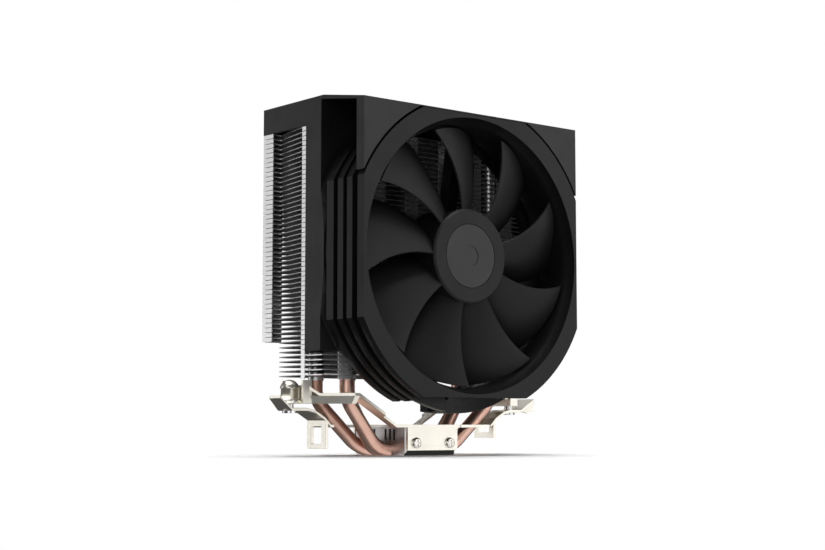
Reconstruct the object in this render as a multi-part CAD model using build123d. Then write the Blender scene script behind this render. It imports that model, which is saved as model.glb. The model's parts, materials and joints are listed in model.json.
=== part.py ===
from build123d import *
import math
import os

os.makedirs("parts", exist_ok=True)

# CPU tower cooler with a 120 mm fan, in millimetres.
# The origin is the centre of the cold plate's underside. +Z is up the tower,
# the fan is on the -Y side, and X runs across the fan.

# Overall
HALF_WIDTH = 60.0            # fan and cover, from the middle to each side
FAN_CENTRE_Z = 84.4          # height of the fan's axis
FAN_FRONT_Y = -47.6          # front face of the fan
FAN_DEPTH = 25.0
REAR_Y = 24.0                # rear face of the cover and of the fins

# Fan frame
RIM_RADIUS = 66.5            # round outline of the frame, cut by flats at the sides
MOUTH_RADIUS = 58.6          # inlet lip
BORE_RADIUS = 56.0           # duct around the blades
DUCT_WALL = 2.0
RIMS = ((0.0, 4.3), (7.7, 11.3), (13.8, 17.5), (20.3, 25.0))   # from the front face
MOTOR_PLATE_RADIUS = 21.0
MOTOR_PLATE_THICKNESS = 3.0
NOTCH_RIGHT_X = -10.1           # right side of the lead's outlet notch
STRUT_COUNT = 4
STRUT_WIDTH = 5.0
STRUT_DEPTH = 5.5
DUCT_RING_DEPTH = 5.8        # round ring between the fan and the fins
DUCT_RING_BORE = 57.0
DUCT_RING_RADIUS = 59.4
FAN_SCREW_CIRCLE = 62.3      # four screws, this angle above and below the fan's axis
FAN_SCREW_ANGLE = 37.5
FAN_SCREW_HEAD = 2.0

# Impeller and motor
BLADE_COUNT = 9
TIP_RADIUS = 55.2
HUB_RADIUS = 20.2
HUB_FACE_Y = FAN_FRONT_Y + 3.4
HUB_REAR_Y = HUB_FACE_Y + 16.4
HUB_WALL = 1.9
HUB_CAP_RADIUS = 13.5
YOKE_WALL = 1.0
MAGNET_WALL = 1.5
SHAFT_RADIUS = 1.5
BEARING_CLEARANCE = 0.03
BEARING_RADIUS = 4.0
TUBE_WALL = 1.2
STATOR_RADIUS = 15.0
POLE_COUNT = 4

# Cover
COVER_WALL = 1.7
COVER_TOP_Z = 149.8
COVER_FRONT_Z = 145.1        # the top drops to this at the fan's front face
COVER_LEVEL_Y = -19.8        # the top is level behind this line
COVER_BAND_Z = 138.6         # lower edge of the band round the top
LEG_FRONT_Y = -18.4
LEG_REAR_Y = -7.6
COVER_FRONT_WALL = 1.6
LEG_BOTTOM_Z = 43.5
CORNER_DEPTH = 5.0
CORNER_GROOVE = 1.0

# Fins
FIN_THICKNESS = 0.4
FIN_PITCH = 2.05
FIN_BOTTOM_Z = 33.5
FIN_COUNT = 52
SHORT_FIN_COUNT = 8          # the lowest fins, without rear corners
FIN_FRONT_Y = -16.4
TAB_GAP = 0.25               # between a fin's folded tab and the next fin

# Heat pipes
PIPE_RADIUS = 3.0
PIPE_Z = 2.6                 # axis height in the base, so that the underside is flat
PIPE_PITCH = 6.2
PIPE_TOP_Z = 140.0
PIPE_TIP = 3.5
OUTER_LEG = (40.6, 11.0)     # x and y of the front and rear pipes' legs
MIDDLE_LEG_X = 31.6
OUTER_BENDS = ((20.7, PIPE_Z, 14.0), (40.6, 23.7, 12.0))       # x, z, bend radius
MIDDLE_BENDS = ((18.0, PIPE_Z, 6.8), (31.6, 25.0, 14.0))

# Base
BASE_X = 28.0
BASE_Y = 36.0
BASE_Z = 12.0
GROOVE_WIDTH = 1.4
GROOVE_Y = (3.9, 6.9, 9.8)
GROOVE_BOTTOM_Z = 6.5
GROOVE_TOP_Z = 11.3

# Clamping hardware
SHEET = 1.2
FLANGE_BOTTOM_Z = 2.2
FLANGE_SCREW_X = 9.4
FLANGE_SCREW_Z = 5.4
FLEX_X = 16.0                # flexure line between a bracket and its hook arm
FLEX_GAP = 0.3
HOOK_X = 48.3
HOOK_WIDTH = 13.2
HOOK_WINDOW_WIDTH = 7.2
STUD_X = 62.1
STUD_RADIUS = 1.7
HOOK_FLAT_Z = 20.1              # top of the hook arm where its stud stands
FLANGE_DROP = 4.4               # the raised arm's edge flange
FLANGE_LEAN = 2.4
SADDLE_FLOOR_Z = 21.9
SADDLE_TOP_Z = 31.6
SADDLE_HALF = 7.8
NUT_FLATS = 7.0
NUT_TOP_Z = 31.8
NUT_SHOULDER_Z = 28.2
WASHER = 0.5


def save(name, shape):
    """Write one piece, or one group of equal pieces, under its own name."""
    shape.label = name
    export_step(shape, f"parts/{name}.step")


def box(x0, x1, y0, y1, z0, z1):
    """A block between two corners."""
    return Pos(x0, y0, z0) * Box(x1 - x0, y1 - y0, z1 - z0, align=(Align.MIN,) * 3)


def disc_y(radius, y0, y1, x=0.0, z=FAN_CENTRE_Z):
    """A cylinder along Y."""
    solid = Cylinder(radius, y1 - y0, align=(Align.CENTER, Align.CENTER, Align.MIN))
    return Pos(x, y0, z) * Rot(-90, 0, 0) * solid


def disc_z(radius, z0, z1, x=0.0, y=0.0):
    """A cylinder along Z."""
    solid = Cylinder(radius, z1 - z0, align=(Align.CENTER, Align.CENTER, Align.MIN))
    return Pos(x, y, z0) * solid


def turned(points):
    """A solid turned about the fan's axis from (radius, y) points."""
    outline = Polyline([(r, y, FAN_CENTRE_Z) for r, y in points], close=True)
    return revolve(make_face(outline), Axis((0, 0, FAN_CENTRE_Z), (0, 1, 0)))


def prism_z(points, z0, z1):
    """A plan outline of (x, y) points, extruded upwards."""
    face = make_face(Polyline([(x, y, z0) for x, y in points], close=True))
    return extrude(face, amount=z1 - z0, dir=(0, 0, 1))


def prism_y(points, y0, y1):
    """A front outline of (x, z) points, extruded rearwards."""
    face = make_face(Polyline([(x, y0, z) for x, z in points], close=True))
    return extrude(face, amount=y1 - y0, dir=(0, 1, 0))


def prism_x(points, x0, x1):
    """A side outline of (y, z) points, extruded to the right."""
    face = make_face(Polyline([(x0, y, z) for y, z in points], close=True))
    return extrude(face, amount=x1 - x0, dir=(1, 0, 0))


def bent_sheet(centre_line, y0, y1, thickness=SHEET):
    """A sheet that follows a line of (x, z) points, with its upper side on the line."""
    lower = [(x, z - thickness) for x, z in reversed(centre_line)]
    return prism_y(list(centre_line) + lower, y0, y1)


def mirror_x(shape):
    return mirror(shape, about=Plane.YZ)


def half_turn(shape):
    """The same piece turned half a turn about the tower's axis."""
    return Rot(0, 0, 180) * shape


# ---------------------------------------------------------------- fan frame

def fan_rear_y():
    return FAN_FRONT_Y + FAN_DEPTH


def bore_tool():
    """The inside of the duct: a tapered mouth, a straight run and a rear flare."""
    front = FAN_FRONT_Y
    points = [
        (0.0, front - 1.0),
        (MOUTH_RADIUS, front - 1.0),
        (MOUTH_RADIUS, front + 0.8),
        (BORE_RADIUS + 1.0, front + 3.6),
        (BORE_RADIUS, front + 7.0),
        (BORE_RADIUS, front + 19.0),
        (BORE_RADIUS + 1.6, fan_rear_y()),
        (BORE_RADIUS + 1.6, fan_rear_y() + 1.0),
        (0.0, fan_rear_y() + 1.0),
    ]
    return turned(points)


def rims():
    """The four rims: round, with flats at the sides; the front one has a flat foot too."""
    high = FAN_CENTRE_Z + HALF_WIDTH
    shape = None
    for index, (start, end) in enumerate(RIMS):
        low = FAN_CENTRE_Z - HALF_WIDTH if index == 0 else FAN_CENTRE_Z - RIM_RADIUS - 1
        rim = disc_y(RIM_RADIUS, FAN_FRONT_Y + start, FAN_FRONT_Y + end)
        rim &= box(-HALF_WIDTH, HALF_WIDTH, FAN_FRONT_Y, fan_rear_y(), low, high)
        shape = rim if shape is None else shape + rim
    return shape


def chin(body):
    """Smooth cone that closes the grooves below the front rim's foot, right of the notch."""
    front = FAN_FRONT_Y + RIMS[0][1]
    back = FAN_FRONT_Y + RIMS[2][0]
    place = box(NOTCH_RIGHT_X, HALF_WIDTH / 2, front - 1.0, back + 1.0, 15.0, 30.0)
    inner = BORE_RADIUS + DUCT_WALL
    cone = turned([
        (inner - 0.5, front - 0.5),
        (HALF_WIDTH - 0.7, front - 0.5),
        (RIM_RADIUS - 0.2, back),
        (RIM_RADIUS - 0.2, back + 0.6),
        (inner - 0.5, back + 0.6),
    ])
    ring = disc_y(RIM_RADIUS + 1.0, front + 1.0, back - 1.0)
    ring -= disc_y(inner + 0.6, front, back)
    body -= ring & place
    return body + (cone & place)


def fan_frame():
    """Duct with four rims, a plate that carries the motor, and its struts."""
    body = disc_y(BORE_RADIUS + DUCT_WALL, FAN_FRONT_Y, fan_rear_y()) + rims()
    body -= bore_tool()
    plate_front = fan_rear_y() - MOTOR_PLATE_THICKNESS
    body += disc_y(MOTOR_PLATE_RADIUS, plate_front, fan_rear_y())
    inner = MOTOR_PLATE_RADIUS - 3.0
    outer = BORE_RADIUS + 1.0
    for index in range(STRUT_COUNT):
        strut = box(inner, outer, fan_rear_y() - STRUT_DEPTH, fan_rear_y(),
                    -STRUT_WIDTH / 2, STRUT_WIDTH / 2)
        strut = Rot(0, 8 + 360 * index / STRUT_COUNT, 0) * strut
        body += Pos(0, 0, FAN_CENTRE_Z) * strut
    tube_radius = BEARING_RADIUS + TUBE_WALL
    body -= disc_y(MOTOR_PLATE_RADIUS, fan_rear_y() - 8.0, plate_front)
    body += disc_y(tube_radius, HUB_FACE_Y + 5.4, plate_front + 0.5)
    body -= disc_y(BEARING_RADIUS, HUB_FACE_Y + 4.0, fan_rear_y() - 1.2)
    # Outlet notch for the lead, through the two rear rims at the lower left.
    body -= box(-25.0, NOTCH_RIGHT_X, FAN_FRONT_Y + 13.0, fan_rear_y() + 1.0, 15.0, 23.2)
    body = chin(body)
    for x, z in fan_screw_places():
        body -= disc_y(1.4, fan_rear_y() - 4.6, fan_rear_y() + 0.1, x, z)
    return body


def fan_screw_places():
    """Four screws just inside the rims."""
    turn = math.radians(FAN_SCREW_ANGLE)
    x, z = FAN_SCREW_CIRCLE * math.cos(turn), FAN_SCREW_CIRCLE * math.sin(turn)
    return [(sx * x, FAN_CENTRE_Z + sz * z) for sx in (-1, 1) for sz in (-1, 1)]


def fan_duct_ring():
    """Round ring between the fan and the fins, inside the hole of the cover's wall."""
    start = fan_rear_y()
    end = start + DUCT_RING_DEPTH
    ring = disc_y(DUCT_RING_RADIUS, start, end)
    ring -= disc_y(DUCT_RING_BORE, start - 1.0, end + 1.0)
    # Flats beside the cover's legs.
    clear = HALF_WIDTH - COVER_WALL - 0.1
    for side in (-1, 1):
        ends = sorted((side * clear, side * (HALF_WIDTH + 5)))
        ring -= box(ends[0], ends[1], LEG_FRONT_Y - 0.05, end + 1.0, 0.0, 160.0)
    return ring


def fan_screws():
    """Self-tapping screws from behind the cover's wall into the fan frame."""
    screws = []
    for x, z in fan_screw_places():
        shank = disc_y(1.35, fan_rear_y() - 4.4, LEG_FRONT_Y + 0.5, x, z)
        head = disc_y(FAN_SCREW_HEAD, LEG_FRONT_Y + 0.05, LEG_FRONT_Y + 1.4, x, z)
        screws.append(shank + head)
    return screws


# ---------------------------------------------------------------- impeller

def blade_section(radius, angle, stagger, chord, camber):
    """A thin cambered blade section on the plane square to one radius."""
    phi = math.radians(angle)
    middle_y = (HUB_FACE_Y + HUB_REAR_Y) / 2
    centre = (radius * math.cos(phi), middle_y, radius * math.sin(phi))
    radial = (math.cos(phi), 0, math.sin(phi))
    tangent = (-math.sin(phi), 0, math.cos(phi))
    plane = Plane(origin=centre, x_dir=tangent, z_dir=radial)
    lean = math.radians(stagger)
    half = chord / 2
    thick = 0.75

    def at(u, v):
        return (u * math.cos(lean) - v * math.sin(lean), u * math.sin(lean) + v * math.cos(lean))

    lead_a, lead_b = at(-half, -thick * 0.7), at(-half, thick * 0.7)
    tail_a, tail_b = at(half, -thick * 0.5), at(half, thick * 0.5)
    belly, back = at(0, camber - thick), at(0, camber + thick)
    edges = [
        ThreePointArc(lead_a, belly, tail_a),
        Line(tail_a, tail_b),
        ThreePointArc(tail_b, back, lead_b),
        Line(lead_b, lead_a),
    ]
    return plane * make_face(edges)


def blade():
    """One swept blade, trimmed to the hub and to the tip circle."""
    sections = [
        blade_section(17.0, 0.0, 47.0, 19.5, 1.6),
        blade_section(31.0, 3.0, 36.0, 25.0, 2.4),
        blade_section(45.0, 9.0, 27.0, 31.0, 2.8),
        blade_section(60.0, 18.0, 21.0, 37.0, 2.8),
    ]
    solid = loft(sections)
    solid = Pos(0, 0, FAN_CENTRE_Z) * solid
    trim = disc_y(TIP_RADIUS, HUB_FACE_Y - 1.5, HUB_REAR_Y + 1.0)
    trim -= disc_y(HUB_RADIUS - 0.6, HUB_FACE_Y - 3.0, HUB_REAR_Y + 3.0)
    return solid & trim


def impeller():
    """Hub cup, shaft boss and blades, moulded in one."""
    hub = disc_y(HUB_RADIUS, HUB_FACE_Y, HUB_REAR_Y)
    hub = chamfer(hub.edges().filter_by(GeomType.CIRCLE).sort_by(Axis.Y)[0], 0.8)
    hub -= disc_y(HUB_RADIUS - HUB_WALL, HUB_FACE_Y + HUB_WALL, HUB_REAR_Y + 1.0)
    hub -= disc_y(HUB_CAP_RADIUS + 0.25, HUB_FACE_Y - 1.0, HUB_FACE_Y + 0.8)
    hub += disc_y(3.6, HUB_FACE_Y + HUB_WALL - 0.1, HUB_FACE_Y + 4.6)
    hub -= disc_y(SHAFT_RADIUS, HUB_FACE_Y + 1.4, HUB_REAR_Y + 1.0)
    one = blade()
    for index in range(BLADE_COUNT):
        turn = Pos(0, 0, FAN_CENTRE_Z) * Rot(0, 360 * index / BLADE_COUNT, 0) * Pos(0, 0, -FAN_CENTRE_Z)
        hub += turn * one
    return hub


def hub_cap():
    """Plain disc let into the hub's face, with a shallow dished middle."""
    cap = disc_y(HUB_CAP_RADIUS, HUB_FACE_Y + 0.05, HUB_FACE_Y + 0.8)
    return cap - disc_y(4.4, HUB_FACE_Y - 1.0, HUB_FACE_Y + 0.3)


def yoke_radius():
    return HUB_RADIUS - HUB_WALL


def rotor_yoke():
    """Steel cup that closes the magnet's field, pressed into the hub."""
    front = HUB_FACE_Y + HUB_WALL
    rear = HUB_REAR_Y - 0.4
    cup = disc_y(yoke_radius(), front, rear)
    cup -= disc_y(yoke_radius() - YOKE_WALL, front + YOKE_WALL, rear + 1.0)
    return cup - disc_y(3.7, front - 1.0, front + 2.0)


def magnet_ring():
    outer = yoke_radius() - YOKE_WALL
    front = HUB_FACE_Y + HUB_WALL + YOKE_WALL + 1.2
    rear = HUB_REAR_Y - 0.8
    return disc_y(outer, front, rear) - disc_y(outer - MAGNET_WALL, front - 1.0, rear + 1.0)


def motor_shaft():
    """Shaft, fixed in the hub's boss, with a groove near its free end."""
    shaft = disc_y(SHAFT_RADIUS, HUB_FACE_Y + 1.4, fan_rear_y() - 1.6)
    groove = disc_y(SHAFT_RADIUS + 1.0, fan_rear_y() - 2.7, fan_rear_y() - 2.1)
    groove -= disc_y(SHAFT_RADIUS - 0.4, fan_rear_y() - 3.0, fan_rear_y() - 1.9)
    return shaft - groove


def shaft_clip():
    """Snap ring in the shaft's groove, which keeps the rotor in its bearing."""
    clip = disc_y(2.9, fan_rear_y() - 2.65, fan_rear_y() - 2.15)
    clip -= disc_y(SHAFT_RADIUS - 0.38, fan_rear_y() - 3.0, fan_rear_y() - 1.9)
    slot = box(0.0, 4.0, fan_rear_y() - 3.0, fan_rear_y() - 1.0, -0.5, 0.5)
    return clip - Pos(0, 0, FAN_CENTRE_Z) * slot


def sleeve_bearing():
    sleeve = disc_y(BEARING_RADIUS, HUB_FACE_Y + 5.8, fan_rear_y() - 3.3)
    return sleeve - disc_y(SHAFT_RADIUS + BEARING_CLEARANCE, HUB_FACE_Y + 4.0, fan_rear_y())


def stator_span():
    """Front and rear of the stator's laminated core."""
    return HUB_FACE_Y + 6.6, HUB_FACE_Y + 12.6


def stator_core():
    """Laminated core with four poles, pressed onto the bearing tube."""
    front, rear = stator_span()
    core = disc_y(8.0, front, rear)
    rim = disc_y(STATOR_RADIUS, front, rear) - disc_y(STATOR_RADIUS - 1.6, front - 1, rear + 1)
    gaps = box(-20, 20, front - 1, rear + 1, -1.4, 1.4)
    gaps += box(-1.4, 1.4, front - 1, rear + 1, -20, 20)
    rim -= Pos(0, 0, FAN_CENTRE_Z) * Rot(0, 45, 0) * gaps
    core += rim
    arms = box(-14, 14, front, rear, -1.8, 1.8) + box(-1.8, 1.8, front, rear, -14, 14)
    core += Pos(0, 0, FAN_CENTRE_Z) * arms
    return core - disc_y(BEARING_RADIUS + TUBE_WALL, front - 1, rear + 1)


def pole_sleeve(inner, outer, grow_y, r0, r1):
    """A rectangular sleeve round one pole, between two radii."""
    front, rear = stator_span()
    sleeve = box(r0, r1, front - grow_y, rear + grow_y, -outer, outer)
    core = box(r0 - 1, r1 + 1, front - grow_y + outer - inner, rear + grow_y - outer + inner,
               -inner, inner)
    return sleeve - core


def around_poles(shape):
    """Four copies, one on each pole."""
    turns = [Rot(0, 360 * index / POLE_COUNT, 0) for index in range(POLE_COUNT)]
    return [Pos(0, 0, FAN_CENTRE_Z) * turn * shape for turn in turns]


def stator_insulators():
    """Plastic liners between the poles and their coils."""
    return around_poles(pole_sleeve(1.85, 2.25, 0.45, 8.6, 13.0))


def stator_windings():
    """Copper coils on the four poles."""
    return around_poles(pole_sleeve(2.3, 3.9, 2.1, 9.0, 12.8))


def fan_circuit_board():
    """Drive board behind the stator, round the bearing tube."""
    front = fan_rear_y() - MOTOR_PLATE_THICKNESS - 1.4
    board = disc_y(14.5, front, front + 1.0)
    return board - disc_y(BEARING_RADIUS + TUBE_WALL + 0.2, front - 1, front + 2)


def board_components():
    """Driver chip and two small parts on the drive board."""
    face = fan_rear_y() - MOTOR_PLATE_THICKNESS - 1.4
    middle = FAN_CENTRE_Z
    return [
        box(7.0, 11.0, face - 0.9, face, middle - 2.0, middle + 2.0),
        box(-10.0, -8.0, face - 0.8, face, middle + 1.0, middle + 2.4),
        box(-10.0, -8.0, face - 0.8, face, middle - 2.4, middle - 1.0),
    ]


# ---------------------------------------------------------------- cover

def cover_wall():
    """Front wall with a round hole, a cone round the hole and four screw bosses."""
    front, rear = LEG_FRONT_Y, LEG_FRONT_Y + COVER_FRONT_WALL
    hole = DUCT_RING_RADIUS + 0.2
    wall = box(-HALF_WIDTH, HALF_WIDTH, front, rear, LEG_BOTTOM_Z, COVER_TOP_Z - 0.5)
    wall -= disc_y(hole, front - 1, rear + 1)
    cone = turned([(hole, front - 2.2), (HALF_WIDTH + 0.1, front - 2.2),
                   (HALF_WIDTH + 5.4, front + 0.1), (hole, front + 0.1)])
    cone &= box(-HALF_WIDTH, HALF_WIDTH, front - 3, rear, LEG_BOTTOM_Z, COVER_TOP_Z - 2.0)
    wall += cone
    for x, z in fan_screw_places():
        wall += disc_y(2.6, fan_rear_y() + 0.05, front + 0.1, x, z)
    for x, z in fan_screw_places():
        wall -= disc_y(1.7, fan_rear_y() - 1.0, rear + 1.0, x, z)
        wall -= disc_y(FAN_SCREW_HEAD + 0.1, front, rear + 1.0, x, z)
    return wall


def top_cover():
    """Cap over the tower, with two side legs, a front wall and two corner fillers."""
    x = HALF_WIDTH
    outer = [
        (FAN_FRONT_Y, COVER_FRONT_Z),
        (COVER_LEVEL_Y, COVER_TOP_Z),
        (REAR_Y, COVER_TOP_Z),
        (REAR_Y, COVER_TOP_Z - COVER_WALL),
        (COVER_LEVEL_Y + 0.3, COVER_TOP_Z - COVER_WALL),
        (FAN_FRONT_Y + CORNER_DEPTH, FAN_CENTRE_Z + HALF_WIDTH + 0.2),
        (FAN_FRONT_Y, FAN_CENTRE_Z + HALF_WIDTH + 0.2),
    ]
    cover = prism_x(outer, -x, x)
    side_band = box(x - COVER_WALL, x, LEG_FRONT_Y, REAR_Y, COVER_BAND_Z, COVER_TOP_Z - 0.5)
    leg = box(x - COVER_WALL, x, LEG_FRONT_Y, LEG_REAR_Y, LEG_BOTTOM_Z, COVER_TOP_Z - 0.5)
    cover += side_band + leg + mirror_x(side_band) + mirror_x(leg)
    cover += box(-x, x, REAR_Y - COVER_WALL, REAR_Y, COVER_BAND_Z + 0.1, COVER_TOP_Z - 0.5)
    cover += cover_wall()
    corners = box(-x, x, FAN_FRONT_Y, FAN_FRONT_Y + CORNER_DEPTH,
                  FAN_CENTRE_Z, FAN_CENTRE_Z + HALF_WIDTH + 0.5)
    corners -= disc_y(RIM_RADIUS + CORNER_GROOVE, FAN_FRONT_Y - 1, FAN_FRONT_Y + 8)
    cover += corners
    return cover


# ---------------------------------------------------------------- fins

def pipe_places():
    """Where the six pipe legs pass through the fins."""
    x, y = OUTER_LEG
    return [(sx * x, sy * y) for sx in (-1, 1) for sy in (-1, 1)] + [
        (sx * MIDDLE_LEG_X, 0.0) for sx in (-1, 1)]


def fin_outline(rear_corners):
    """Half of a fin's outline, from the front middle to the rear middle."""
    side = [
        (0.0, FIN_FRONT_Y),
        (57.6, FIN_FRONT_Y),
        (57.6, LEG_REAR_Y + 0.6),
        (59.6, LEG_REAR_Y + 0.6),
        (59.6, -4.4),
        (55.3, 17.6),
    ]
    if rear_corners:
        rear = [
            (59.9, 16.8),
            (59.9, REAR_Y),
            (50.0, REAR_Y),
            (42.0, 20.0),
            (26.0, 20.0),
            (18.0, REAR_Y),
            (0.0, REAR_Y),
        ]
    else:
        rear = [(50.0, 20.0), (0.0, 20.0)]
    return side + rear


def fin(rear_corners):
    """One fin with collars round the pipes and tabs folded down to the next fin."""
    half = fin_outline(rear_corners)
    other = [(-x, y) for x, y in reversed(half) if x > 0]
    plate = prism_z(half + other, 0.0, FIN_THICKNESS)
    drop = FIN_PITCH - FIN_THICKNESS - TAB_GAP
    for x, y in pipe_places():
        plate += disc_z(PIPE_RADIUS + 0.4, -drop, 0.1, x, y)
    for x, y in pipe_places():
        plate -= disc_z(PIPE_RADIUS, -5.0, 5.0, x, y)
    edge = FIN_THICKNESS
    tab = box(59.6 - edge, 59.6, LEG_REAR_Y + 0.6, -4.4, -drop, 0.1)
    if rear_corners:
        tab += box(59.9 - edge, 59.9, 16.8, REAR_Y, -drop, 0.1)
        tab += box(50.0, 58.6, REAR_Y - edge, REAR_Y, -drop, 0.1)
        tab += box(8.0, 16.0, REAR_Y - edge, REAR_Y, -drop, 0.1)
    for start in (6.0, 24.0, 42.0):
        tab += box(start, start + 7.0, FIN_FRONT_Y, FIN_FRONT_Y + edge, -drop, 0.1)
    return plate + tab + mirror_x(tab)


def stack(one, first, count):
    """Equal fins, one above the other."""
    return [Pos(0, 0, FIN_BOTTOM_Z + FIN_PITCH * (first + index)) * one
            for index in range(count)]


# ---------------------------------------------------------------- heat pipes and base

def heat_pipe(y_base, y_leg, bends):
    """One U-shaped pipe: through the base, out and up on both sides to the top fin."""
    (x_low, z_low, r_low), (x_leg, z_high, r_high) = bends
    right = [(x_low, y_base, z_low), (x_leg, y_leg, z_high), (x_leg, y_leg, PIPE_TOP_Z)]
    left = [(-x, y, z) for x, y, z in reversed(right)]
    path = FilletPolyline(*left, *right, radius=[r_high, r_low, r_low, r_high])
    section = Plane(origin=left[0], z_dir=(0, 0, -1)) * Circle(PIPE_RADIUS)
    pipe = sweep(section, path=path)
    for side in (-1, 1):
        tip = Cone(PIPE_RADIUS, 1.0, PIPE_TIP, align=(Align.CENTER, Align.CENTER, Align.MIN))
        pipe += Pos(side * x_leg, y_leg, PIPE_TOP_Z) * tip
    # The run along the base is pressed flat underneath.
    return pipe - box(-60, 60, -40, 40, -5.0, 0.0)


def heat_pipes():
    x, y = OUTER_LEG
    return {
        "heat_pipe_front": heat_pipe(-PIPE_PITCH, -y, OUTER_BENDS),
        "heat_pipe_middle": heat_pipe(0.0, 0.0, MIDDLE_BENDS),
        "heat_pipe_rear": heat_pipe(PIPE_PITCH, y, OUTER_BENDS),
    }


def base_block():
    """Cold plate block with the pipes pressed into its underside."""
    half_x, half_y = BASE_X / 2, BASE_Y / 2
    block = box(-half_x, half_x, -half_y, half_y, 0.0, BASE_Z)
    block = chamfer(block.edges().filter_by(Axis.Z), 1.0)
    for side in (-1, 1):
        # The foot slopes in under each flange.
        slope = [(side * (half_y + 1.0), -1.0), (side * (half_y + 1.0), FLANGE_BOTTOM_Z + 0.6),
                 (side * half_y, FLANGE_BOTTOM_Z), (side * (half_y - 1.7), 0.0),
                 (side * (half_y - 1.7), -1.0)]
        block -= prism_x(slope, -half_x - 1.0, half_x + 1.0)
    for index in (-1, 0, 1):
        channel = Pos(-half_x - 1, index * PIPE_PITCH, PIPE_Z) * Rot(0, 90, 0) * Cylinder(
            PIPE_RADIUS, BASE_X + 2, align=(Align.CENTER, Align.CENTER, Align.MIN))
        block -= channel
    for side in (-1, 1):
        for y in GROOVE_Y:
            block -= box(-half_x - 1, half_x + 1, side * y - GROOVE_WIDTH / 2,
                         side * y + GROOVE_WIDTH / 2, GROOVE_BOTTOM_Z, GROOVE_TOP_Z)
        for x in (-FLANGE_SCREW_X, FLANGE_SCREW_X):
            start = side * (half_y - 7.0)
            end = side * (half_y + 1.0)
            block -= disc_y(1.45, min(start, end), max(start, end), x, FLANGE_SCREW_Z)
    return block


# ---------------------------------------------------------------- clamp

def flange_y():
    """Outer face of the front bracket's flange."""
    return -BASE_Y / 2 - SHEET


def raised_arm():
    """Arm that climbs to the left, past the pipes, and ends in the nut's saddle."""
    top = BASE_Z + SHEET
    climb = [(-13.0, top), (-20.0, top), (-42.0, 26.2), (-54.6, 26.2), (-57.5, 29.0)]
    sheet = bent_sheet(climb, -30.0, 10.0)
    plan = [
        (-13.0, flange_y()),
        (-27.4, flange_y()),
        (-28.2, -22.0),
        (-44.4, -22.0),
        (-57.5, -SADDLE_HALF),
        (-57.5, SADDLE_HALF),
        (-52.0, SADDLE_HALF),
        (-45.6, -8.0),
        (-44.8, -14.8),
        (-13.0, -14.8),
    ]
    arm = sheet & prism_z(plan, 0.0, 60.0)
    return arm + edge_flange() + saddle()


def edge_flange():
    """Stiffening flange, turned down and inwards along the raised arm's front edge."""
    path = [(-42.0, -22.0, 26.2), (-44.4, -22.0, 26.2), (-57.4, -SADDLE_HALF, 26.2)]
    flange = None
    for (x0, y0, z0), (x1, y1, z1) in zip(path, path[1:]):
        section = Plane.YZ * make_face(Polyline(
            (y0, z0 - SHEET + 0.05),
            (y0 + SHEET, z0 - SHEET + 0.05),
            (y0 + SHEET + FLANGE_LEAN, z0 - FLANGE_DROP),
            (y0 + FLANGE_LEAN, z0 - FLANGE_DROP),
            close=True,
        ))
        run = Vector(x1 - x0, y1 - y0, z1 - z0)
        piece = extrude(Pos(x0, 0, 0) * section, amount=run.length, dir=run.normalized())
        flange = piece if flange is None else flange + piece
    return flange


def saddle():
    """Pocket at the end of the raised arm: a wall, a floor and two cheeks."""
    half = SADDLE_HALF
    inner, mouth = -56.4, -60.8
    floor = box(mouth, inner, -half, half, SADDLE_FLOOR_Z, SADDLE_FLOOR_Z + SHEET)
    floor += disc_z(4.0, SADDLE_FLOOR_Z, SADDLE_FLOOR_Z + SHEET, -60.3)
    wall = box(inner - SHEET, inner, -half, half, SADDLE_FLOOR_Z, 29.6)
    cheek = box(mouth, inner, -half, -half + SHEET, SADDLE_FLOOR_Z, SADDLE_TOP_Z)
    pocket = floor + wall + cheek + mirror(cheek, about=Plane.XZ)
    return pocket - disc_z(STUD_RADIUS + 0.7, 10.0, 40.0, -STUD_X)


def bracket():
    """Front bracket: flange on the base, plate over the base, raised arm to the left."""
    half_x = BASE_X / 2
    face = flange_y()
    top = BASE_Z + SHEET
    piece = box(-20.0, FLEX_X - FLEX_GAP / 2, face, -14.8, BASE_Z, top)
    piece += box(-half_x - 1.0, half_x, face, -0.15, BASE_Z, top)
    piece += box(-half_x, half_x, face, -BASE_Y / 2, FLANGE_BOTTOM_Z, top)
    piece += raised_arm()
    for x in (-FLANGE_SCREW_X, FLANGE_SCREW_X):
        piece -= disc_y(1.7, face - 1, -BASE_Y / 2 + 1, x, FLANGE_SCREW_Z)
    return piece


def bracket_screws():
    """Four pan-head screws that hold the two brackets to the base."""
    screws = []
    for side in (0, 180):
        for x in (-FLANGE_SCREW_X, FLANGE_SCREW_X):
            shank = disc_y(1.4, flange_y() - 0.1, -BASE_Y / 2 + 6.0, x, FLANGE_SCREW_Z)
            head = disc_y(2.35, flange_y() - 1.3, flange_y(), x, FLANGE_SCREW_Z)
            head = fillet(head.edges().filter_by(GeomType.CIRCLE).sort_by(Axis.Y)[0], 0.9)
            cross = box(-1.4, 1.4, -2.0, flange_y() - 0.6 + 20, -0.3, 0.3)
            cross += box(-0.3, 0.3, -2.0, flange_y() - 0.6 + 20, -1.4, 1.4)
            head -= Pos(x, -20.0, FLANGE_SCREW_Z) * cross
            screws.append(Rot(0, 0, side) * (shank + head))
    return screws


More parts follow.
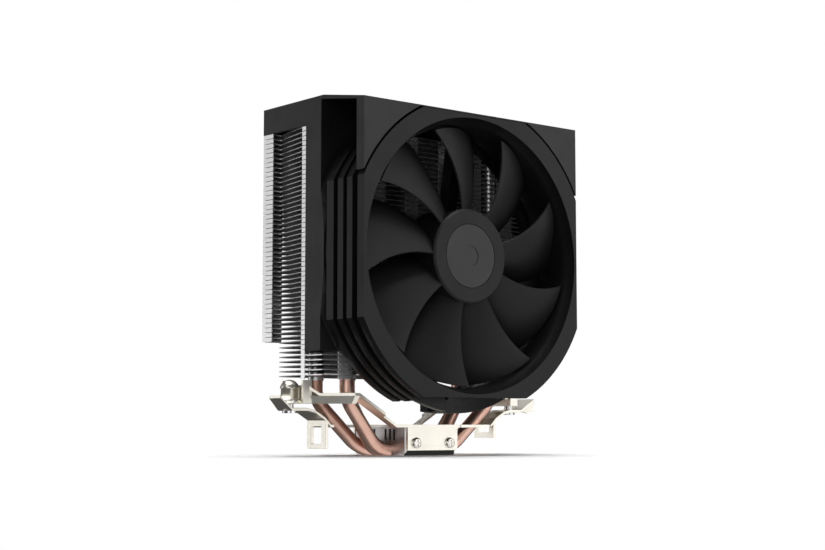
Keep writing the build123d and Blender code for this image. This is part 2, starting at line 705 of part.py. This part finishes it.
def hook_arm(tab_bottom_z, window_bottom_z, window_top_z, tip_x, tip_half):
    """Flat spring arm to the right, with a windowed hook and an outward finger plate."""
    top = BASE_Z + SHEET
    line = [
        (FLEX_X, top),
        (45.3, top),
        (HOOK_X, 16.2),
        (53.5, 19.2),
        (57.5, HOOK_FLAT_Z),
        (64.3, HOOK_FLAT_Z),
        (tip_x, 25.2),
    ]
    half = HOOK_WIDTH / 2
    plan = [
        (FLEX_X + FLEX_GAP / 2, flange_y()),
        (33.0, flange_y()),
        (45.3, -half),
        (57.0, -half),
        (tip_x, -tip_half),
        (tip_x, tip_half),
        (57.0, half),
        (43.6, half),
        (37.4, -5.5),
        (35.6, -12.2),
        (FLEX_X + FLEX_GAP / 2, -12.2),
    ]
    arm = bent_sheet(line, -30.0, 30.0) & prism_z(plan, 0.0, 60.0)
    tab = prism_y([
        (HOOK_X - 1.5, tab_bottom_z),
        (HOOK_X, tab_bottom_z),
        (HOOK_X, 15.5),
        (HOOK_X - 1.5, 14.2),
    ], -half, half)
    window = HOOK_WINDOW_WIDTH / 2
    tab -= box(HOOK_X - 3, HOOK_X + 3, -window, window, window_bottom_z, window_top_z)
    arm += tab
    return arm - disc_z(STUD_RADIUS, 10.0, 30.0, STUD_X)


def finger_gusset():
    """Small flange turned down along the front edge of the right finger plate."""
    outline = [(63.5, 19.6), (73.0, 24.6), (72.4, 19.4), (68.6, 18.6)]
    return prism_y(outline, -6.3, -5.1)


def stud():
    """Threaded stud fixed in the right hook arm, with a flat head underneath."""
    under = HOOK_FLAT_Z - SHEET
    shank = disc_z(STUD_RADIUS, under, 27.6, STUD_X)
    return shank + disc_z(3.0, under - 1.0, under, STUD_X)


def nut_seat_z():
    """Top of the saddle's floor."""
    return SADDLE_FLOOR_Z + SHEET


def nut_washer():
    """Plain washer between the saddle and the nut."""
    ring = disc_z(3.6, nut_seat_z(), nut_seat_z() + WASHER, STUD_X)
    return ring - disc_z(STUD_RADIUS + 0.6, 10.0, 40.0, STUD_X)


def dome_nut():
    """Hexagonal cap nut with a domed top, turned to pull its hook arm up."""
    seat = nut_seat_z() + WASHER
    across = NUT_FLATS / math.sqrt(3) * 2
    hexagon = extrude(RegularPolygon(across / 2, 6), amount=NUT_SHOULDER_Z - seat)
    nut = Pos(STUD_X, 0, seat) * hexagon
    cap = NUT_TOP_Z - NUT_SHOULDER_Z
    base_radius = across / 2 + 0.05
    ball_radius = (base_radius ** 2 + cap ** 2) / (2 * cap)
    dome = Pos(STUD_X, 0, NUT_TOP_Z - ball_radius) * Sphere(ball_radius)
    dome &= disc_z(NUT_FLATS, NUT_SHOULDER_Z, NUT_TOP_Z + 1.0, STUD_X)
    nut += dome
    return nut - disc_z(STUD_RADIUS + 0.6, seat - 1.0, 29.4, STUD_X)


# ---------------------------------------------------------------- all the pieces

def group(solids):
    """Equal pieces kept apart as separate solids in one group."""
    return Compound(children=list(solids))


pieces = {
    "top_cover": top_cover(),
    "fan_frame": fan_frame(),
    "fan_duct_ring": fan_duct_ring(),
    "fan_screws": group(fan_screws()),
    "impeller": impeller(),
    "hub_cap": hub_cap(),
    "rotor_yoke": rotor_yoke(),
    "magnet_ring": magnet_ring(),
    "motor_shaft": motor_shaft(),
    "shaft_clip": shaft_clip(),
    "sleeve_bearing": sleeve_bearing(),
    "stator_core": stator_core(),
    "stator_insulators": group(stator_insulators()),
    "stator_windings": group(stator_windings()),
    "fan_circuit_board": fan_circuit_board(),
    "board_components": group(board_components()),
    "upper_fins": group(stack(fin(True), SHORT_FIN_COUNT, FIN_COUNT - SHORT_FIN_COUNT)),
    "lower_fins": group(stack(fin(False), 0, SHORT_FIN_COUNT)),
    "base_block": base_block(),
    "front_bracket": bracket(),
    "rear_bracket": half_turn(bracket()),
    "bracket_screws": group(bracket_screws()),
    "right_hook_arm": hook_arm(7.2, 9.9, 12.9, 73.0, 6.3) + finger_gusset(),
    "left_hook_arm": half_turn(hook_arm(2.9, 5.0, 12.4, 69.5, 4.2)),
    "right_stud": stud(),
    "left_stud": half_turn(stud()),
    "right_nut_washer": nut_washer(),
    "left_nut_washer": half_turn(nut_washer()),
    "right_dome_nut": dome_nut(),
    "left_dome_nut": half_turn(dome_nut()),
}
pieces.update(heat_pipes())

for piece_name, piece in pieces.items():
    save(piece_name, piece)
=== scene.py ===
import json
import math

import bpy
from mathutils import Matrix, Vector


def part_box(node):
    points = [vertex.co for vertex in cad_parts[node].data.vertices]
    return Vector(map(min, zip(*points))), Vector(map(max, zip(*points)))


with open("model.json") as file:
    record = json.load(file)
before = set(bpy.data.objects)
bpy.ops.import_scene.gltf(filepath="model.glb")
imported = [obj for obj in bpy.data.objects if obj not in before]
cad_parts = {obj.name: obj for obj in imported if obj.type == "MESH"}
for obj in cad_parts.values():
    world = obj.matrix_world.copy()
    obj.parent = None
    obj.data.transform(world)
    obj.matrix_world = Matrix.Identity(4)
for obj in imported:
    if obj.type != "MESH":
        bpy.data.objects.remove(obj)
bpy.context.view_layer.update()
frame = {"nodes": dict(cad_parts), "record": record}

NODES = frame["nodes"]
MM = 0.001

scene = bpy.context.scene
scene.view_settings.view_transform = "Standard"
scene.view_settings.look = "None"


# ------------------------------------------------------------------ materials

GRAIN_DEPTH = 0.04 * MM      # moulded plastic's spark grain
LINE_DEPTH = 0.03 * MM       # drawn, brushed or turned lines
LAMINATION_DEPTH = 0.08 * MM
LAMINATION = 0.5 * MM        # thickness of one steel sheet in the motor
WAVE_PERIOD = 0.31           # of a wave texture at scale 1, about 2 pi / 20

NOISE_RANGE = (0.3, 0.7)     # the part of a noise that carries most of its variation
EDGE_RANGE = (0.52, 0.60)    # pointiness, from a flat surface to a rounded edge
FLAT_RANGE = (0.4, 0.8)      # how level a fin's surface is, from its edge to its face; level faces get painted shade

# Brightness of the base by slope, where 0 faces down and 0.5 is upright: the
# underside and the sides are bright, and the sloped foot between them is painted dark as shade.
FOOT_PAINTED_SHADE = ((0.02, 1.0), (0.05, 0.04), (0.40, 0.04), (0.46, 1.0))

# Sockets of a colour mix node, which go by number because their names repeat
MIX_FACTOR, MIX_FIRST, MIX_SECOND, MIX_RESULT = 0, 6, 7, 2


class Graph:
    """A small helper for one material's node tree."""

    def __init__(self, name):
        self.material = bpy.data.materials.new(name)
        self.material.use_nodes = True
        self.tree = self.material.node_tree
        self.shader = self.tree.nodes["Principled BSDF"]
        self.coords = self.node("ShaderNodeTexCoord").outputs["Object"]

    def node(self, kind, values=None, **settings):
        """A new node, with its settings and the values of its input sockets."""
        made = self.tree.nodes.new(kind)
        for key, value in settings.items():
            setattr(made, key, value)
        for socket, value in (values or {}).items():
            made.inputs[socket].default_value = value
        return made

    def link(self, source, target):
        self.tree.links.new(source, target)

    def drive(self, source, socket):
        """Lead a source to one of the shader's own sockets."""
        self.link(source, self.shader.inputs[socket])

    def stretched(self, scale):
        """Object coordinates stretched by a different amount along each axis."""
        mapping = self.node("ShaderNodeMapping", {"Scale": scale})
        self.link(self.coords, mapping.inputs["Vector"])
        return mapping.outputs["Vector"]

    def noise(self, scale, detail=4.0, roughness=0.6, vector=None):
        """Cloudy noise from 0 to 1, in object coordinates unless others are given."""
        values = {"Scale": scale, "Detail": detail, "Roughness": roughness}
        made = self.node("ShaderNodeTexNoise", values)
        self.link(vector or self.coords, made.inputs["Vector"])
        return made.outputs["Fac"]

    def ramp(self, source, low, high):
        """Colours from low to high as a noise goes through its range."""
        made = self.node("ShaderNodeValToRGB")
        first, second = made.color_ramp.elements
        first.position, second.position = NOISE_RANGE
        first.color, second.color = (*low, 1), (*high, 1)
        self.link(source, made.inputs["Fac"])
        return made.outputs["Color"]

    def remap(self, source, low, high, span=NOISE_RANGE):
        """Values from low to high as the source goes through a span."""
        start, end = span
        values = {"From Min": start, "From Max": end, "To Min": low, "To Max": high}
        made = self.node("ShaderNodeMapRange", values)
        self.link(source, made.inputs["Value"])
        return made.outputs["Result"]

    def mixed(self, factor, first, second, blend="MIX"):
        """Two colours mixed. Each input is either a socket or a plain value."""
        made = self.node("ShaderNodeMix", data_type="RGBA", blend_type=blend)
        for index, source in ((MIX_FACTOR, factor), (MIX_FIRST, first), (MIX_SECOND, second)):
            if isinstance(source, bpy.types.NodeSocket):
                self.link(source, made.inputs[index])
            else:
                made.inputs[index].default_value = source
        return made.outputs[MIX_RESULT]

    def bump(self, height, strength, distance, below=None):
        """A bumped normal, on top of another one where that is given."""
        made = self.node("ShaderNodeBump", {"Strength": strength, "Distance": distance})
        self.link(height, made.inputs["Height"])
        if below:
            self.link(below, made.inputs["Normal"])
        return made.outputs["Normal"]

    def normal_z(self):
        """How far the surface faces up, from -1 to 1."""
        geometry = self.node("ShaderNodeNewGeometry")
        parts = self.node("ShaderNodeSeparateXYZ")
        self.link(geometry.outputs["True Normal"], parts.inputs["Vector"])
        return parts.outputs["Z"]

    def worn_edges(self, base, worn, amount):
        """The base colour, lighter where the surface is convex."""
        geometry = self.node("ShaderNodeNewGeometry")
        edge = self.remap(geometry.outputs["Pointiness"], 0.0, amount, EDGE_RANGE)
        return self.mixed(edge, base, (*worn, 1))

    def brushed(self, roughness, stretch, grain=900.0, strength=0.12, spread=0.06):
        """Fine lines along the axis of least stretch, in the gloss and in the surface."""
        lines = self.noise(grain, 3.0, 0.6, self.stretched(stretch))
        self.drive(self.remap(lines, roughness - spread / 2, roughness + spread), "Roughness")
        self.drive(self.bump(lines, strength, LINE_DEPTH), "Normal")


def scaled(colour, factor):
    """A colour made lighter or darker."""
    return tuple(min(1.0, channel * factor) for channel in colour)


def plastic(name, colour, roughness, grain=2600.0, specular=0.5):
    """Moulded plastic: fine spark grain, a slow change of gloss and lighter edges."""
    g = Graph(name)
    g.shader.inputs["Specular IOR Level"].default_value = specular
    base = g.ramp(g.noise(55.0, 3.0), scaled(colour, 0.88), scaled(colour, 1.12))
    g.drive(g.worn_edges(base, scaled(colour, 1.9), 0.35), "Base Color")
    g.drive(g.remap(g.noise(90.0, 5.0), roughness - 0.04, roughness + 0.05), "Roughness")
    g.drive(g.bump(g.noise(grain, 2.0, 0.5), 0.25, GRAIN_DEPTH), "Normal")
    return g.material


def metal(name, colour, roughness, stretch=(1.0, 1.0, 1.0), grain=900.0, strength=0.12, worn=1.15):
    """Bare or plated metal with drawn or brushed lines along one direction."""
    g = Graph(name)
    g.shader.inputs["Metallic"].default_value = 1.0
    base = g.ramp(g.noise(60.0, 4.0), scaled(colour, 0.93), scaled(colour, 1.05))
    g.drive(g.worn_edges(base, scaled(colour, worn), 0.6), "Base Color")
    g.brushed(roughness, stretch, grain, strength)
    return g.material


def fin_material(name, edge, face, roughness):
    """Thin rolled sheet: bright cut edges and folded tabs, and flat faces painted dark as shade
    between the fins.
    """
    g = Graph(name)
    g.shader.inputs["Metallic"].default_value = 0.85
    level = g.node("ShaderNodeMath", operation="ABSOLUTE")
    g.link(g.normal_z(), level.inputs["Value"])
    flat = g.remap(level.outputs["Value"], 0.0, 1.0, FLAT_RANGE)
    cloud = g.noise(80.0, 4.0)
    bright = g.ramp(cloud, scaled(edge, 0.93), scaled(edge, 1.04))
    painted_shade_faces = g.ramp(cloud, scaled(face, 0.85), scaled(face, 1.15))
    # Painted shade: level fin faces take the dark colour, while the cut edges and tabs take the
    # bright one.
    g.drive(g.mixed(flat, bright, painted_shade_faces), "Base Color")
    g.brushed(roughness, (0.05, 1.0, 1.0), spread=0.08)
    return g.material


def hub_material(name, colour, roughness):
    """Satin plastic with faint turned rings about the fan's axis."""
    g = Graph(name)
    low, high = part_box("impeller")
    middle = (low + high) / 2
    about_axis = {"Location": (-middle.x, 0.0, -middle.z), "Scale": (1.0, 0.0, 1.0)}
    mapping = g.node("ShaderNodeMapping", about_axis)
    g.link(g.coords, mapping.inputs["Vector"])
    rings = g.node("ShaderNodeTexWave", {"Scale": 420.0},
                   wave_type="RINGS", rings_direction="SPHERICAL")
    g.link(mapping.outputs["Vector"], rings.inputs["Vector"])
    g.drive(g.ramp(g.noise(60.0, 3.0), scaled(colour, 0.9), scaled(colour, 1.1)), "Base Color")
    g.drive(g.remap(g.noise(80.0, 4.0), roughness - 0.03, roughness + 0.04), "Roughness")
    turned = g.bump(rings.outputs["Fac"], 0.10, LINE_DEPTH)
    g.drive(g.bump(g.noise(2400.0, 2.0), 0.15, LINE_DEPTH, turned), "Normal")
    return g.material


def copper_material(name, brown, pink, spot):
    """Drawn copper tube: a slow change from brown to pink, with small darker spots."""
    g = Graph(name)
    g.shader.inputs["Metallic"].default_value = 1.0
    base = g.ramp(g.noise(70.0, 5.0), brown, pink)
    spots = g.remap(g.noise(320.0, 6.0, 0.7), 0.0, 0.14)
    g.drive(g.mixed(spots, base, (*spot, 1)), "Base Color")
    g.drive(g.remap(g.noise(240.0, 4.0), 0.34, 0.44), "Roughness")
    drawn = g.noise(500.0, 2.0, 0.5, g.stretched((1.0, 1.0, 0.06)))
    g.drive(g.bump(drawn, 0.10, LINE_DEPTH), "Normal")
    return g.material


def base_material(name, colour, roughness):
    """Machined block: bright sides and underside, and a sloped foot painted dark as shade."""
    g = Graph(name)
    g.shader.inputs["Metallic"].default_value = 1.0
    slope = g.remap(g.normal_z(), 0.0, 1.0, (-1.0, 1.0))
    foot_shade_ramp = g.node("ShaderNodeValToRGB")
    stops = foot_shade_ramp.color_ramp.elements
    for index, (position, level) in enumerate(FOOT_PAINTED_SHADE):
        stop = stops[index] if index < 2 else stops.new(position)
        stop.position = position
        stop.color = (level, level, level, 1)
    g.link(slope, foot_shade_ramp.inputs["Fac"])
    base = g.ramp(g.noise(60.0, 4.0), scaled(colour, 0.93), scaled(colour, 1.05))
    # Painted shade: the colour is multiplied by the slope ramp, which darkens the sloped foot.
    g.drive(g.mixed(1.0, base, foot_shade_ramp.outputs["Color"], "MULTIPLY"), "Base Color")
    g.brushed(roughness, (0.05, 1.0, 1.0))
    return g.material


def laminated(name, colour, roughness, pitch):
    """Steel sheets stacked along Y, seen as fine lines."""
    g = Graph(name)
    g.shader.inputs["Metallic"].default_value = 1.0
    wave = g.node("ShaderNodeTexWave", {"Scale": WAVE_PERIOD / pitch}, bands_direction="Y")
    g.link(g.coords, wave.inputs["Vector"])
    sheets = wave.outputs["Fac"]
    g.drive(g.ramp(sheets, scaled(colour, 0.6), colour), "Base Color")
    g.drive(g.remap(g.noise(300.0), roughness - 0.05, roughness + 0.08), "Roughness")
    g.drive(g.bump(sheets, 0.5, LAMINATION_DEPTH), "Normal")
    return g.material


MATERIALS = {
    "black_cover": plastic("black_cover", (0.009, 0.009, 0.010), 0.42, specular=0.38),
    "black_frame": plastic("black_frame", (0.006, 0.006, 0.0065), 0.38, specular=0.24),
    "blade_plastic": plastic("blade_plastic", (0.007, 0.007, 0.0075), 0.50, specular=0.29),
    "hub_plastic": hub_material("hub_plastic", (0.011, 0.011, 0.012), 0.44),
    # The fins' second colour is painted shade for their flat faces, and the base's sloped foot is
    # painted dark as shade too.
    "fin_aluminium": fin_material("fin_aluminium", (0.98, 0.98, 0.99), (0.09, 0.09, 0.10), 0.28),
    "base_aluminium": base_material("base_aluminium", (0.66, 0.64, 0.64), 0.38),
    "copper": copper_material("copper", (0.87, 0.52, 0.41), (0.95, 0.64, 0.53), (0.56, 0.27, 0.18)),
    "nickel": metal("nickel", (0.92, 0.88, 0.79), 0.31, (0.08, 1.0, 1.0), worn=1.1),
    "screw_nickel": metal("screw_nickel", (0.80, 0.78, 0.73), 0.24, (1.0, 0.1, 1.0)),
    "polished_steel": metal("polished_steel", (0.68, 0.68, 0.70), 0.18, (1.0, 1.0, 0.1)),
    "dark_steel": metal("dark_steel", (0.05, 0.05, 0.055), 0.35),
    "ferrite": plastic("ferrite", (0.035, 0.035, 0.038), 0.55, grain=1800.0),
    "bronze": metal("bronze", (0.60, 0.40, 0.20), 0.42, grain=1500.0, strength=0.3),
    "electrical_steel": laminated("electrical_steel", (0.36, 0.36, 0.38), 0.38, LAMINATION),
    "copper_wire": metal("copper_wire", (0.62, 0.26, 0.12), 0.30, (1.0, 0.1, 1.0)),
    "white_nylon": plastic("white_nylon", (0.72, 0.72, 0.68), 0.45),
    "board_green": plastic("board_green", (0.02, 0.12, 0.05), 0.28, grain=1400.0),
    "chip_black": plastic("chip_black", (0.02, 0.02, 0.02), 0.5),
}

SLOT_OF = {part["node"]: part["material_slot"] for part in frame["record"]["subparts"]}


def paint(obj, slot):
    """Give a whole node the one material of its slot."""
    obj.data.materials.clear()
    obj.data.materials.append(MATERIALS[slot])
    for polygon in obj.data.polygons:
        polygon.material_index = 0


# ------------------------------------------------------------------ soft edges

WELD_DISTANCE = 0.002 * MM
SHARP_ANGLE = 35             # degrees; flatter edges stay as they are

BEVEL_WIDTHS = {             # in millimetres
    "top_cover": 0.45, "fan_frame": 0.35, "fan_duct_ring": 0.3, "base_block": 0.12,
    "front_bracket": 0.18, "rear_bracket": 0.18, "right_hook_arm": 0.18, "left_hook_arm": 0.18,
    "right_dome_nut": 0.25, "left_dome_nut": 0.25, "right_nut_washer": 0.08,
    "left_nut_washer": 0.08, "hub_cap": 0.12,
}


def soften(obj, width):
    """Join the node's split edges and round its sharp ones by a modifier."""
    weld = obj.modifiers.new("weld", "WELD")
    weld.merge_threshold = WELD_DISTANCE
    bevel = obj.modifiers.new("bevel", "BEVEL")
    bevel.width = width
    bevel.segments = 2
    bevel.limit_method = "ANGLE"
    bevel.angle_limit = math.radians(SHARP_ANGLE)


for node_name, node_object in NODES.items():
    paint(node_object, SLOT_OF[node_name])
    if node_name in BEVEL_WIDTHS:
        soften(node_object, BEVEL_WIDTHS[node_name] * MM)


# ------------------------------------------------------------------ studio

FLOOR_HALF = 30.0
FLOOR_DROP = 0.05 * MM
FLOOR_LIT_RANGE = (0.10, 0.34)     # distances between which the lit floor turns plain white
FILL_LIGHT = 0.05
WHITE = (1.0, 1.0, 1.0, 1.0)

# What the softboxes point at
FAN = (0.0, 0.0, 0.08)
CLAMP = (0.0, 0.0, 0.02)
BASE = (0.0, 0.0, 0.01)
LEFT_PIPES = (-0.02, 0.0, 0.012)


def blend_shaders(tree, factor, first, second, output):
    """Lead two shader nodes, mixed by a factor, to a tree's output."""
    mix = tree.nodes.new("ShaderNodeMixShader")
    tree.links.new(factor, mix.inputs["Fac"])
    tree.links.new(first.outputs[0], mix.inputs[1])
    tree.links.new(second.outputs[0], mix.inputs[2])
    tree.links.new(mix.outputs[0], tree.nodes[output].inputs["Surface"])


def surroundings():
    """A white background to look at, which gives the object only a weak light."""
    world = bpy.data.worlds.new("studio")
    scene.world = world
    world.use_nodes = True
    tree = world.node_tree
    fill = tree.nodes["Background"]
    fill.inputs["Color"].default_value = WHITE
    fill.inputs["Strength"].default_value = FILL_LIGHT
    seen = tree.nodes.new("ShaderNodeBackground")
    seen.inputs["Color"].default_value = WHITE
    seen.inputs["Strength"].default_value = 1.0
    path = tree.nodes.new("ShaderNodeLightPath")
    blend_shaders(tree, path.outputs["Is Camera Ray"], fill, seen, "World Output")


def stage_plane():
    """White floor: lit normally near the object, and plain white further out."""
    half = FLOOR_HALF
    corners = [(-half, -half, 0), (half, -half, 0), (half, half, 0), (-half, half, 0)]
    mesh = bpy.data.meshes.new("studio_floor")
    mesh.from_pydata(corners, [], [(0, 1, 2, 3)])
    floor = bpy.data.objects.new("studio_floor", mesh)
    scene.collection.objects.link(floor)
    floor.location.z = -FLOOR_DROP
    floor.visible_diffuse = False
    floor.visible_glossy = False
    floor.visible_shadow = False
    g = Graph("studio_floor")
    g.shader.inputs["Base Color"].default_value = (0.94, 0.94, 0.94, 1)
    g.shader.inputs["Roughness"].default_value = 0.6
    g.shader.inputs["Specular IOR Level"].default_value = 0.1
    distance = g.node("ShaderNodeVectorMath", operation="LENGTH")
    g.link(g.coords, distance.inputs["Vector"])
    start, end = FLOOR_LIT_RANGE
    far = g.node("ShaderNodeMapRange", {"From Min": start, "From Max": end},
                 interpolation_type="SMOOTHSTEP")
    g.link(distance.outputs["Value"], far.inputs["Value"])
    white = g.node("ShaderNodeEmission", {"Color": WHITE, "Strength": 1.0})
    blend_shaders(g.tree, far.outputs["Result"], g.shader, white, "Material Output")
    mesh.materials.append(g.material)


def softbox(name, direction, distance, width, height, radiance, aim=FAN):
    """A rectangular light of a stated brightness, seen from the object along a direction."""
    data = bpy.data.lights.new(name, "AREA")
    data.shape = "RECTANGLE"
    data.size, data.size_y = width, height
    data.energy = radiance * math.pi * width * height
    light = bpy.data.objects.new(name, data)
    way = Vector(direction).normalized()
    light.location = Vector(aim) + way * distance
    light.rotation_euler = (-way).to_track_quat("-Z", "Y").to_euler()
    scene.collection.objects.link(light)


def lights():
    """Large softboxes around the tower, and low ones for the pipes, the clamp and the base."""
    softbox("front_right", (0.63, -0.77, 0.40), 1.4, 1.4, 1.0, 1.42)
    softbox("front_right_low", (0.63, -0.77, -0.01), 1.3, 1.3, 0.15, 1.60, aim=BASE)
    softbox("front", (-0.72, -0.69, 0.05), 1.5, 1.0, 1.1, 1.25)
    softbox("front_centre", (0.05, -1.0, -0.02), 1.3, 0.8, 0.18, 1.1, aim=CLAMP)
    softbox("rear_left", (-0.63, 0.77, 0.14), 1.4, 0.8, 1.1, 0.70)
    softbox("rear_left_low", (-0.63, 0.77, -0.02), 1.2, 0.8, 0.24, 0.50, aim=BASE)
    softbox("below_front", (0.30, -0.63, -0.71), 0.5, 1.0, 0.8, 0.75, aim=LEFT_PIPES)
    softbox("below", (0.0, 0.15, -1.0), 0.4, 0.8, 0.7, 0.09, aim=LEFT_PIPES)
    softbox("front_left", (-0.95, -0.30, 0.75), 1.5, 0.7, 0.7, 0.9)
    softbox("rear_right", (0.80, 0.60, 0.35), 1.6, 1.2, 1.0, 0.6)
    softbox("top", (0.05, 0.05, 1.0), 1.5, 1.6, 1.6, 4.6)


def camera():
    """The photograph's camera: low, on the fan's left, and tilted up a little."""
    tilt, turn = 95.479, -39.526
    data = bpy.data.cameras.new("camera")
    data.lens = 69.76
    data.sensor_width = 36.0
    data.clip_start = 0.01
    eye = bpy.data.objects.new("camera", data)
    eye.location = (-448.08 * MM, -548.38 * MM, 11.61 * MM)
    eye.rotation_euler = (math.radians(tilt), 0.0, math.radians(turn))
    scene.collection.objects.link(eye)
    scene.camera = eye


surroundings()
stage_plane()
lights()
camera()
